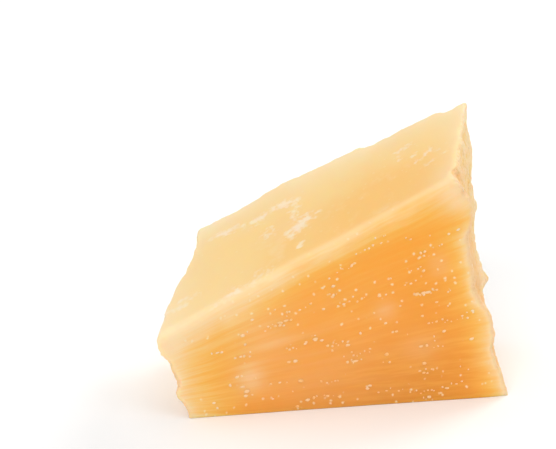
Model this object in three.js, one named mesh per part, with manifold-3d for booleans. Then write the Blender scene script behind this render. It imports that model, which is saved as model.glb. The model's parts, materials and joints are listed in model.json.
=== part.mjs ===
// A chunk of hard aged cheese, cut smooth in front, on top and underneath, and broken off at both ends
// and at the back. It stands on its flat foot, low at one end and high at the other. It is one solid.
// Millimetres, +Z up. +X runs from the low end to the high end, and the smooth front looks along -Y.
// The origin is at the bottom centre of the chunk's box.

import * as THREE from "three";
import { mergeVertices } from "three/addons/utils/BufferGeometryUtils.js";
import Module from "manifold-3d";

// The front: its foot edge, and where its two top corners stand over the ends of that edge
const FOOT_LENGTH = 105;
const LOW_HEIGHT = 27.8;
const LOW_OVERHANG = 11.6;
const HIGH_HEIGHT = 76.5;
const HIGH_SETBACK = 20.1;
const FRONT_LEAN = THREE.MathUtils.degToRad(3);

// The top: how far it runs back at each end, how far it drifts towards +X, and its rise to the back
const TOP_DEPTH_LOW = 56.8;
const TOP_DEPTH_HIGH = 44.4;
const TOP_DRIFT_LOW = 20.6;
const TOP_DRIFT_HIGH = 14.4;
const TOP_TILT = THREE.MathUtils.degToRad(4.2);

// The foot: how far it runs back at each end, and how far it drifts towards +X
const FOOT_DEPTH_LOW = 47;
const FOOT_DEPTH_HIGH = 41;
const FOOT_DRIFT_LOW = 8;
const FOOT_DRIFT_HIGH = 5;

// Rounding of the edges: the worn edge between front and top is the softest, and the foot's the
// sharpest, which passes into the others over a share of the chunk's height
const EDGE_RADIUS = 1.2;
const WORN_EDGE_RADIUS = 3;
const FOOT_EDGE_RADIUS = 0.4;
const FOOT_EDGE_SHARE = 0.12;

// Relief of the broken faces: a slow swell, large facets and small facets, as height and width
const SWELL = { height: 1.2, width: 24 };
const LARGE_FACETS = { height: 1.1, width: 10 };
const SMALL_FACETS = { height: 0.6, width: 4.6 };
const BREAK_SHARE = { low: 0.55, high: 0.6, back: 1 };
const BACK_BULGE = 3.4;
const RELIEF_REACH = 9;

// One facet, for a width of 1: how far its centre keeps from the border of its cell, how far it lies
// over or under the plane at most, its tilt, and the width of the step to the next one
const FACET_MARGIN = 0.1;
const FACET_RISE = 0.7;
const FACET_TILT = 1.8;
const FACET_STEP = 0.22;

// The swells that shift the facets sideways, so that their rows don't run straight
const FACET_DRIFT = { height: 1.61, width: 7 };

// Relief of the smooth faces: a slow waviness, and a top that is crowned towards the back
const FRONT_WAVE = { height: 0.3, width: 19 };
const TOP_WAVE = { height: 0.5, width: 17 };
const TOP_CROWN = 0.3;

// Single lumps and hollows. On the ends, s runs back and t up. On the back face, s runs along the
// chunk and t up. On the top, s runs along the chunk and t back. All run from the low foot corner.
const LOW_LUMPS = [
  { s: 43, t: 38, height: -1.8, reach: 17 },
  { s: 0, t: 24, height: 0.8, reach: 5 },
  { s: 0, t: 19, height: -1.2, reach: 5 },
  { s: 0, t: 13.5, height: -1.6, reach: 4.5 },
  { s: 0, t: 7.6, height: 0.9, reach: 4 },
  { s: 0, t: 3, height: -1.1, reach: 5.5 },
];
const HIGH_LUMPS = [
  { s: 4, t: 66, height: 3, reach: 12 },
  { s: 0, t: 38, height: -0.8, reach: 9 },
  { s: 0, t: 27, height: 1.7, reach: 11 },
  { s: 4, t: 14.5, height: -1.9, reach: 8 },
  { s: 47, t: 69, height: 1, reach: 8 },
  { s: 47, t: 58, height: -1.5, reach: 6 },
  { s: 46, t: 50, height: 1, reach: 4 },
  { s: 44, t: 40, height: -2, reach: 14 },
  { s: 43, t: 25, height: 2.3, reach: 10 },
  { s: 43, t: 22.5, height: 2, reach: 4 },
];
const BACK_LUMPS = [
  { s: 70, t: 72, height: -1.8, reach: 9 },
  { s: 93.3, t: 83.5, height: -0.7, reach: 4 },
];
const TOP_LUMPS = [{ s: 93.3, t: 50, height: -0.3, reach: 4.5 }];

// The foot is cut flat: the stock below it is sliced off
const FOOT_STOCK = 4;

// Grid cells of the skin along X, Y and Z, and how much closer they lie near the edges
const CELLS = { x: 38, y: 20, z: 28 };
const EDGE_CROWDING = 0.45;

// Places the origin under the middle of the chunk's box
const ORIGIN = new THREE.Vector3(50, 29.3, 0);

const mix = (low, high, share) => low + (high - low) * share;
const ease = (share) => share * share * (3 - 2 * share);
const clamp = THREE.MathUtils.clamp;

// A fixed random number from 0 to 1 for each point of a whole-number net.
function lattice(i, j, seed) {
  let h = Math.imul(i, 374761393) ^ Math.imul(j, 668265263) ^ Math.imul(seed, 1274126177);
  h = Math.imul(h ^ (h >>> 15), 2246822519);
  h = Math.imul(h ^ (h >>> 13), 3266489917);
  return ((h ^ (h >>> 16)) >>> 0) / 2 ** 32;
}

// Smooth noise from -1 to 1, one swell for each unit of s and t.
function swell(s, t, seed) {
  const i = Math.floor(s);
  const j = Math.floor(t);
  const low = mix(lattice(i, j, seed), lattice(i + 1, j, seed), ease(s - i));
  const high = mix(lattice(i, j + 1, seed), lattice(i + 1, j + 1, seed), ease(s - i));
  return 2 * mix(low, high, ease(t - j)) - 1;
}

// Broken facets from about -1 to 1: an uneven net of small tilted planes with short steps between.
function facets(s, t, seed) {
  const i0 = Math.floor(s);
  const j0 = Math.floor(t);
  const cells = [];
  for (let i = i0 - 1; i <= i0 + 1; i++) {
    for (let j = j0 - 1; j <= j0 + 1; j++) {
      const ds = s - i - mix(FACET_MARGIN, 1 - FACET_MARGIN, lattice(i, j, seed));
      const dt = t - j - mix(FACET_MARGIN, 1 - FACET_MARGIN, lattice(i, j, seed + 1));
      const tilt = (lattice(i, j, seed + 2) - 0.5) * ds + (lattice(i, j, seed + 3) - 0.5) * dt;
      const height = mix(-FACET_RISE, FACET_RISE, lattice(i, j, seed + 4)) + FACET_TILT * tilt;
      cells.push({ away: Math.hypot(ds, dt), height });
    }
  }
  cells.sort((a, b) => a.away - b.away);
  const [nearest, next] = cells;
  const inside = ease(clamp((next.away - nearest.away) / FACET_STEP, 0, 1));
  return mix((nearest.height + next.height) / 2, nearest.height, inside);
}

// One layer of relief at s and t millimetres along a face: swells or facets of its height and width.
function layer(noise, { height, width }, s, t, seed) {
  return height * noise(s / width, t / width, seed);
}

// The height of a broken face over its plane, at s and t millimetres along it.
function brokenRelief(s, t, seed) {
  const drift = layer(swell, FACET_DRIFT, s, t, seed + 40);
  return (
    layer(swell, SWELL, s, t, seed) +
    layer(facets, LARGE_FACETS, s + drift, t, seed + 10) +
    layer(facets, SMALL_FACETS, s, t + drift, seed + 20)
  );
}

// The height of the single lumps: each is round, highest at its centre and level at its reach.
function lumpRelief(s, t, lumps) {
  const heights = lumps.map((lump) => {
    const away = Math.hypot(s - lump.s, t - lump.t) / lump.reach;
    return lump.height * Math.max(0, 1 - away * away) ** 2;
  });
  return heights.reduce((sum, height) => sum + height, 0);
}

// One end of the plain chunk: its front and back corners, each at the foot and at the top.
function endCorners({ foot, top, height, footDrift, footDepth, topDrift, topDepth, slope }) {
  const frontFoot = new THREE.Vector3(foot, 0, 0);
  const frontTop = new THREE.Vector3(top, height * Math.tan(FRONT_LEAN), height);
  const rise = topDrift * slope + topDepth * Math.tan(TOP_TILT);
  return [
    [frontFoot, frontTop],
    [
      frontFoot.clone().add(new THREE.Vector3(footDrift, footDepth, 0)),
      frontTop.clone().add(new THREE.Vector3(topDrift, topDepth, rise)),
    ],
  ];
}

// The eight corners, as corner[x][y][z] with 0 for the low end, the front and the foot.
function chunkCorners() {
  const topLength = FOOT_LENGTH - HIGH_SETBACK + LOW_OVERHANG;
  const slope = (HIGH_HEIGHT - LOW_HEIGHT) / topLength;
  const low = endCorners({
    foot: 0,
    top: -LOW_OVERHANG,
    height: LOW_HEIGHT,
    footDrift: FOOT_DRIFT_LOW,
    footDepth: FOOT_DEPTH_LOW,
    topDrift: TOP_DRIFT_LOW,
    topDepth: TOP_DEPTH_LOW,
    slope,
  });
  const high = endCorners({
    foot: FOOT_LENGTH,
    top: FOOT_LENGTH - HIGH_SETBACK,
    height: HIGH_HEIGHT,
    footDrift: FOOT_DRIFT_HIGH,
    footDepth: FOOT_DEPTH_HIGH,
    topDrift: TOP_DRIFT_HIGH,
    topDepth: TOP_DEPTH_HIGH,
    slope,
  });
  return [low, high];
}

const corner = chunkCorners();

// The plain chunk, with flat faces: q runs from 0 to 1 along each axis, and its foot is at z = 0.
function plainPoint(q) {
  const point = new THREE.Vector3();
  for (const i of [0, 1]) {
    for (const j of [0, 1]) {
      for (const k of [0, 1]) {
        const weight = (i ? q.x : 1 - q.x) * (j ? q.y : 1 - q.y) * (k ? q.z : 1 - q.z);
        point.addScaledVector(corner[i][j][k], weight);
      }
    }
  }
  return point;
}

// The outward normal of a face whose corners run anticlockwise seen from outside.
function faceNormal(a, b, c, d) {
  return c.clone().sub(a).cross(d.clone().sub(b)).normalize();
}

// Each face with relief: its axis and side of the unit cube, its normal, and its height over the plane.
const faces = [
  {
    axis: "x",
    side: 0,
    normal: faceNormal(corner[0][0][0], corner[0][0][1], corner[0][1][1], corner[0][1][0]),
    relief: (p) => BREAK_SHARE.low * brokenRelief(p.y, p.z, 100) + lumpRelief(p.y, p.z, LOW_LUMPS),
  },
  {
    axis: "x",
    side: 1,
    normal: faceNormal(corner[1][0][0], corner[1][1][0], corner[1][1][1], corner[1][0][1]),
    relief: (p) => BREAK_SHARE.high * brokenRelief(p.y, p.z, 200) + lumpRelief(p.y, p.z, HIGH_LUMPS),
  },
  {
    axis: "y",
    side: 1,
    normal: faceNormal(corner[0][1][0], corner[0][1][1], corner[1][1][1], corner[1][1][0]),
    relief: (p, q) =>
      BREAK_SHARE.back * brokenRelief(p.x, p.z, 300) +
      lumpRelief(p.x, p.z, BACK_LUMPS) +
      BACK_BULGE * Math.sin(Math.PI * q.x),
  },
  {
    axis: "y",
    side: 0,
    normal: faceNormal(corner[0][0][0], corner[1][0][0], corner[1][0][1], corner[0][0][1]),
    relief: (p) => layer(swell, FRONT_WAVE, p.x, p.z, 400),
  },
  {
    axis: "z",
    side: 1,
    normal: faceNormal(corner[0][0][1], corner[1][0][1], corner[1][1][1], corner[0][1][1]),
    relief: (p, q) =>
      layer(swell, TOP_WAVE, p.x, p.y, 500) +
      lumpRelief(p.x, p.y, TOP_LUMPS) +
      TOP_CROWN * Math.sin(Math.PI * q.x) * q.y,
  },
];

// Pulls a point of the cube's surface in where it is near an edge, so that the edge is round.
function roundEdges(q) {
  const worn = mix(EDGE_RADIUS, WORN_EDGE_RADIUS, ease((1 - q.y) * q.z));
  const radius = mix(FOOT_EDGE_RADIUS, worn, ease(clamp(q.z / FOOT_EDGE_SHARE, 0, 1)));
  const share = new THREE.Vector3();
  const inner = new THREE.Vector3();
  const out = new THREE.Vector3();
  for (const axis of ["x", "y", "z"]) {
    const start = q.clone();
    const end = q.clone();
    start[axis] = 0;
    end[axis] = 1;
    share[axis] = radius / plainPoint(start).distanceTo(plainPoint(end));
    inner[axis] = clamp(q[axis], share[axis], 1 - share[axis]);
    out[axis] = (q[axis] - inner[axis]) / share[axis];
  }
  return inner.add(out.normalize().multiply(share));
}

// The relief that the faces give a point: all of it on the face, and less further into the chunk.
// A face pushes along the line through the chunk that ends on it, so its neighbours stay smooth and
// only their borders move.
function reliefAt(q, plain) {
  const shift = new THREE.Vector3();
  for (const { axis, side, normal, relief } of faces) {
    const near = q.clone();
    const far = q.clone();
    near[axis] = side;
    far[axis] = 1 - side;
    const facePoint = plainPoint(near);
    const share = 1 - ease(clamp(plain.distanceTo(facePoint) / RELIEF_REACH, 0, 1));
    if (share > 0) {
      const push = facePoint.clone().sub(plainPoint(far));
      shift.addScaledVector(push, (share * relief(facePoint, q)) / push.dot(normal));
    }
  }
  return shift;
}

// Moves evenly spaced grid lines towards the edges, from 0 to 1.
function crowd(share) {
  return share - (EDGE_CROWDING * Math.sin(2 * Math.PI * share)) / (2 * Math.PI);
}

// A closed geometry with shared corners as a manifold-3d solid.
function solidOf(geometry, wasm) {
  const bare = geometry.clone();
  bare.deleteAttribute("normal");
  bare.deleteAttribute("uv");
  const merged = mergeVertices(bare, 1e-4);
  return new wasm.Manifold(
    new wasm.Mesh({
      numProp: 3,
      vertProperties: new Float32Array(merged.attributes.position.array),
      triVerts: new Uint32Array(merged.index.array),
    }),
  );
}

// A manifold-3d solid as a geometry.
function geometryOf(solid) {
  const { vertProperties, triVerts } = solid.getMesh();
  const geometry = new THREE.BufferGeometry();
  geometry.setAttribute("position", new THREE.BufferAttribute(vertProperties, 3));
  geometry.setIndex(new THREE.BufferAttribute(triVerts, 1));
  geometry.computeVertexNormals();
  return geometry;
}

// The chunk's skin: a cube's grid, rounded at the edges, stretched to the corners and given relief.
// It reaches below the foot by the stock that is sliced off.
function skinGeometry() {
  const geometry = new THREE.BoxGeometry(1, 1, 1, CELLS.x, CELLS.y, CELLS.z);
  const positions = geometry.getAttribute("position");
  for (let n = 0; n < positions.count; n++) {
    const q = new THREE.Vector3().fromBufferAttribute(positions, n).addScalar(0.5);
    q.set(crowd(q.x), crowd(q.y), crowd(q.z));
    const rounded = roundEdges(q);
    const plain = plainPoint(rounded);
    const point = plain.clone().add(reliefAt(rounded, plain));
    if (q.z === 0) {
      point.z = -FOOT_STOCK;
    }
    point.sub(ORIGIN);
    positions.setXYZ(n, point.x, point.y, point.z);
  }
  return geometry;
}

const wasm = await Module();
wasm.setup();

// Slices off all that is below the foot, so that the chunk rests on one flat face.
function cutFoot(skin) {
  const reach = 2 * FOOT_LENGTH;
  const slab = new THREE.BoxGeometry(reach, reach, reach).translate(0, 0, -reach / 2);
  return geometryOf(solidOf(skin, wasm).subtract(solidOf(slab, wasm)));
}

const cheese = new THREE.MeshStandardMaterial({ color: 0xf2b45c, roughness: 0.5, metalness: 0 });

const chunk = new THREE.Mesh(cutFoot(skinGeometry()), cheese);
chunk.name = "cheese_chunk";

const part = new THREE.Group();
part.add(chunk);

export default part;
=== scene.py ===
"""Looks of a chunk of hard aged cheese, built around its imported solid.

The chunk is one skin: a cube's grid that is rounded at its edges, stretched to eight corners and given
relief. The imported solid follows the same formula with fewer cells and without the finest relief. The
white crystals are one joined mesh that sits in the skin. The form is worked out in millimetres, from
the low foot corner of the smooth front, and turned into the frame's metres when a mesh is made.
"""

import json
import logging
from dataclasses import dataclass, fields
from enum import Enum
from functools import cached_property
from math import radians
from typing import TypeAlias

import bpy
import numpy as np
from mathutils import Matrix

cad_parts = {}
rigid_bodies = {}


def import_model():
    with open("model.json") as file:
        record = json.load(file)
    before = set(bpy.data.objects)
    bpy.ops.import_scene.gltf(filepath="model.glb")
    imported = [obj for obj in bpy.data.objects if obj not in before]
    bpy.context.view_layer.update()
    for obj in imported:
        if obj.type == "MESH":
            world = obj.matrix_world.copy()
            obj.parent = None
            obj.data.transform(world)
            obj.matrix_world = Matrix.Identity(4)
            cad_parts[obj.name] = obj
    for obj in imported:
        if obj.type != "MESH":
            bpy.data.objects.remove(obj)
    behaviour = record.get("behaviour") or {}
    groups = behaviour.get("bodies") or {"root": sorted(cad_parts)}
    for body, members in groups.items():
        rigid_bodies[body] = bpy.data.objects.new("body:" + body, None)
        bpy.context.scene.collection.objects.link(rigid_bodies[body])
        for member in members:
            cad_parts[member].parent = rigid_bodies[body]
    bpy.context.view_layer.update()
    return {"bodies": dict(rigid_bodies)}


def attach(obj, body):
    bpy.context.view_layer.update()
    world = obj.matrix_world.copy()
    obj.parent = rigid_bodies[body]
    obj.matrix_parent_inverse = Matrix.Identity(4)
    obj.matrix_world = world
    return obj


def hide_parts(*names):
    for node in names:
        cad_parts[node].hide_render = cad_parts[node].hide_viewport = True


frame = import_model()

Array: TypeAlias = np.ndarray
Pair: TypeAlias = tuple[float, float]
Triple: TypeAlias = tuple[float, float, float]
Colour: TypeAlias = tuple[float, float, float, float]
Socket: TypeAlias = bpy.types.NodeSocket
Inputs: TypeAlias = dict[int | str, object]

LOG = logging.getLogger("cheese")
BODY = next(iter(frame["bodies"]))
CHUNK_NODE = "cheese_chunk"
MM = 0.001


def mix(low: Array | float, high: Array | float, share: Array) -> Array:
    """Returns low where share is 0, high where it is 1, and a straight blend between."""
    return low + (high - low) * share


def ease(share: Array) -> Array:
    """Returns a share from 0 to 1 with soft ends: three times its square less twice its cube."""
    return share * share * (3 - 2 * share)


def fade(distance: Array, reach: float) -> Array:
    """Returns 1 at no distance and 0 at the reach and beyond, with soft ends."""
    return 1 - ease(np.clip(distance / reach, 0, 1))


def srgb(red: int, green: int, blue: int) -> Colour:
    """Turns a screen colour into a linear one, along the usual curve of screens.

    Formula: a channel is raised by 0.055, divided by 1.055 and raised to the power 2.4. A very dark one
    is divided by 12.92 instead.

    Args:
        red: Red from 0 to 255.
        green: Green from 0 to 255.
        blue: Blue from 0 to 255.

    Returns:
        Linear red, green and blue from 0 to 1, and full opacity.
    """
    screen = np.array([red, green, blue]) / 255
    linear = np.where(screen <= 0.04045, screen / 12.92, ((screen + 0.055) / 1.055) ** 2.4)
    return (*linear.tolist(), 1.0)


def lattice(i: Array, j: Array, seed: int) -> Array:
    """Returns a fixed random number from 0 to 1 for each point of a whole-number net.

    Formula: both indices and the seed are multiplied by large odd numbers and joined by exclusive or.
    Two rounds of shift, exclusive or and multiply then stir the 32 bits.

    Args:
        i: First whole-number index of each point.
        j: Second whole-number index of each point.
        seed: Number that picks another net.

    Returns:
        One number from 0 to 1 for each point.
    """
    stirred = i.astype(np.uint32) * np.uint32(374761393)
    stirred = stirred ^ (j.astype(np.uint32) * np.uint32(668265263))
    stirred = stirred ^ np.uint32(seed * 1274126177 % 2**32)
    stirred = (stirred ^ (stirred >> 15)) * np.uint32(2246822519)
    stirred = (stirred ^ (stirred >> 13)) * np.uint32(3266489917)
    return (stirred ^ (stirred >> 16)) / 2**32


def swell(s: Array, t: Array, seed: int) -> Array:
    """Returns smooth noise from -1 to 1, one swell for each unit of s and t.

    Formula: the net's random numbers at the four corners around a point, blended with soft ends.

    Args:
        s: First coordinate of each point.
        t: Second coordinate of each point.
        seed: Number that picks another pattern.

    Returns:
        The noise at each point.
    """
    i = np.floor(s).astype(np.int64)
    j = np.floor(t).astype(np.int64)
    low = mix(lattice(i, j, seed), lattice(i + 1, j, seed), ease(s - i))
    high = mix(lattice(i, j + 1, seed), lattice(i + 1, j + 1, seed), ease(s - i))
    return 2 * mix(low, high, ease(t - j)) - 1


def facets(s: Array, t: Array, seed: int) -> Array:
    """Returns broken facets from about -1 to 1, one for each unit of s and t.

    Formula: each cell of the net holds one centre with a random height and tilt. A point takes the
    tilted plane of its nearest centre. Where the next nearest is almost as near, it takes part of that.

    Args:
        s: First coordinate of each point.
        t: Second coordinate of each point.
        seed: Number that picks another pattern.

    Returns:
        The height at each point.
    """
    centre_margin = 0.1
    rise = 0.7
    tilt_size = 1.8
    step_width = 0.22
    near = np.full(s.shape, np.inf)
    next_near = near.copy()
    height = np.zeros(s.shape)
    next_height = height.copy()
    i0 = np.floor(s).astype(np.int64)
    j0 = np.floor(t).astype(np.int64)
    for i in (i0 - 1, i0, i0 + 1):
        for j in (j0 - 1, j0, j0 + 1):
            ds = s - i - mix(centre_margin, 1 - centre_margin, lattice(i, j, seed))
            dt = t - j - mix(centre_margin, 1 - centre_margin, lattice(i, j, seed + 1))
            tilt = (lattice(i, j, seed + 2) - 0.5) * ds + (lattice(i, j, seed + 3) - 0.5) * dt
            here = mix(-rise, rise, lattice(i, j, seed + 4)) + tilt_size * tilt
            away = np.hypot(ds, dt)
            first = away < near
            second = ~first & (away < next_near)
            next_height = np.where(first, height, np.where(second, here, next_height))
            next_near = np.where(first, near, np.where(second, away, next_near))
            height = np.where(first, here, height)
            near = np.where(first, away, near)
    inside = ease(np.clip((next_near - near) / step_width, 0, 1))
    return mix((height + next_height) / 2, height, inside)


class Side(Enum):
    """A face with relief: its axis, its side of the unit cube, and the seed of its noise."""

    LOW = (0, 0, 100)
    HIGH = (0, 1, 200)
    BACK = (1, 1, 300)
    FRONT = (1, 0, 400)
    TOP = (2, 1, 500)

    @property
    def axis(self) -> int:
        """The axis of the cube that the face ends: 0, 1 or 2."""
        return self.value[0]

    @property
    def end(self) -> int:
        """The side of the cube that the face is on: 0 or 1."""
        return self.value[1]

    @property
    def seed(self) -> int:
        """The number that picks the face's noise."""
        return self.value[2]


CREAM = srgb(255, 228, 188)
BROKEN_SIDES = (Side.LOW, Side.HIGH, Side.BACK)
CORNER_SIDES = (Side.LOW, Side.FRONT, Side.TOP)


@dataclass(frozen=True)
class Layer:
    """One layer of relief: how high it stands and how wide its features are, in millimetres.

    Its own seed is added to the seed of the face that it is on.
    """

    height: float
    width: float
    seed: int = 0

    def swells(self, s: Array, t: Array, seed: int) -> Array:
        """Returns soft swells of the layer's width and height."""
        return self.height * swell(s / self.width, t / self.width, seed + self.seed)

    def facets(self, s: Array, t: Array, seed: int) -> Array:
        """Returns broken facets of the layer's width and height."""
        return self.height * facets(s / self.width, t / self.width, seed + self.seed)


@dataclass(frozen=True)
class Lump:
    """A round lump at s and t on its face, or a hollow if its height is negative, in millimetres."""

    s: float
    t: float
    height: float
    reach: float


@dataclass(frozen=True)
class Tear:
    """A torn mark on the top: the points that it follows in plan, its width, height and whiteness."""

    points: tuple[Pair, ...]
    width: float
    height: float
    white: float


@dataclass(frozen=True)
class LitEdge:
    """An edge along which painted light, let through by the thin edge, makes the cheese pale: its two
    faces, how far it reaches on each, and how much.

    The paleness falls off at once where the power is 1, and later but faster where it is 2. The loss is
    how much of the share is gone at the high end.
    """

    first: Side
    second: Side
    reach_on_first: float
    reach_on_second: float
    share: float
    power: float
    loss: float = 0

    def paleness(self, distances: dict[Side, Array]) -> Array:
        """Works out how pale the edge's painted light makes each point.

        Formula: the edge's share times e to the minus distance over reach, raised to the power, for
        both faces. On either face its own distance is 0. The share falls evenly from the low to the
        high end.

        Args:
            distances: The distance of each point from each face.

        Returns:
            The paleness, from 0 to 1.
        """
        from_first = distances[self.first] / self.reach_on_second
        from_second = distances[self.second] / self.reach_on_first
        along = distances[Side.LOW] / (distances[Side.LOW] + distances[Side.HIGH])
        share = self.share * (1 - self.loss * along)
        return share * np.exp(-(from_first**self.power) - from_second**self.power)


LUMPS = {
    Side.LOW: (
        Lump(43, 38, -1.8, 17),
        Lump(0, 24, 0.8, 5),
        Lump(0, 19, -1.2, 5),
        Lump(0, 13.5, -1.6, 4.5),
        Lump(0, 7.6, 0.9, 4),
        Lump(0, 3, -1.1, 5.5),
    ),
    Side.HIGH: (
        Lump(4, 66, 3, 12),
        Lump(0, 38, -0.8, 9),
        Lump(0, 27, 1.7, 11),
        Lump(4, 14.5, -1.9, 8),
        Lump(47, 69, 1, 8),
        Lump(47, 58, -1.5, 6),
        Lump(46, 50, 1, 4),
        Lump(44, 40, -2, 14),
        Lump(43, 25, 2.3, 10),
        Lump(43, 22.5, 2, 4),
    ),
    Side.BACK: (Lump(70, 72, -1.8, 9), Lump(93.3, 83.5, -0.7, 4)),
    Side.FRONT: (),
    Side.TOP: (Lump(93.3, 50, -0.3, 4.5),),
}

TEARS = (
    Tear(((14.5, 45.6), (19.6, 44.3), (27.6, 42.2), (30.8, 43.6), (37, 43.5)), 2.6, 0.07, 0.68),
    Tear(((15.4, 45.5), (18.2, 44.8)), 1.6, 0.06, 1.2),
    Tear(((26, 42.5), (28.6, 42.5), (31, 43.6)), 1.5, 0.06, 1.15),
    Tear(((36.8, 43.6), (40.6, 41.2)), 2, 0.08, 1.3),
    Tear(((40.2, 40.2), (39, 32.6), (40, 26.1)), 1.8, 0.06, 0.78),
    Tear(((43, 27), (38.3, 23.5), (36, 20.8)), 2.8, 0.07, 0.85),
    Tear(((42, 26.3), (38.3, 23.5)), 1.7, 0.06, 1.4),
    Tear(((37.8, 12.6), (36.9, 10.8)), 1.1, 0.1, 1.5),
    Tear(((29.5, 33), (29.2, 27.5)), 2.4, 0.04, 0.7),
    Tear(((-6.2, 12.8), (-3.9, 12.4), (0.9, 11.9)), 1.3, 0.08, 1),
    Tear(((-2, 14), (4.1, 14.5)), 2, 0.05, 0.65),
    Tear(((5, 0.5), (8.3, 2), (14, 4.4), (19.1, 4.7), (24, 6.3)), 4, 0.04, 0.5),
    Tear(((13.6, 4.2), (16.2, 4.4)), 1.6, 0.06, 1.3),
    Tear(((75.3, 38.2), (77.5, 38.8)), 1.5, 0.06, 0.75),
    Tear(((74.3, 37.9), (73.8, 32.8)), 1.2, 0.05, 0.6),
    Tear(((77.2, 30.3), (79.2, 31.8)), 1.3, 0.05, 0.55),
    Tear(((78.5, 25.9), (81.1, 27.3), (83.4, 30)), 1.3, 0.05, 0.6),
    Tear(((84.7, 30), (85.3, 27)), 1.2, 0.05, 0.55),
    Tear(((83, 21.4), (86.8, 23.7)), 1.2, 0.05, 0.6),
    Tear(((80.1, 21.8), (82.2, 22.3)), 1.2, 0.05, 0.55),
)

# Painted light that each thin edge lets through.
LIT_EDGES = (
    LitEdge(Side.FRONT, Side.TOP, 7.5, 2.4, 1, 2, 0.48),
    LitEdge(Side.FRONT, Side.LOW, 11.5, 3, 0.8, 1),
    LitEdge(Side.FRONT, Side.LOW, 2.4, 2.4, 0.6, 2),
    LitEdge(Side.FRONT, Side.HIGH, 18, 1.6, 0.05, 1),
    LitEdge(Side.FRONT, Side.HIGH, 6, 1.6, 0.8, 1),
    LitEdge(Side.FRONT, Side.HIGH, 1.4, 2.4, 0.7, 2),
    LitEdge(Side.TOP, Side.LOW, 7, 3, 0.6, 1),
    LitEdge(Side.TOP, Side.HIGH, 5, 2.4, 0.8, 1),
    LitEdge(Side.TOP, Side.BACK, 8, 2, 0.9, 1),
    LitEdge(Side.BACK, Side.LOW, 3, 3, 0.6, 1),
    LitEdge(Side.BACK, Side.HIGH, 3, 3, 0.6, 1),
)


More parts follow.
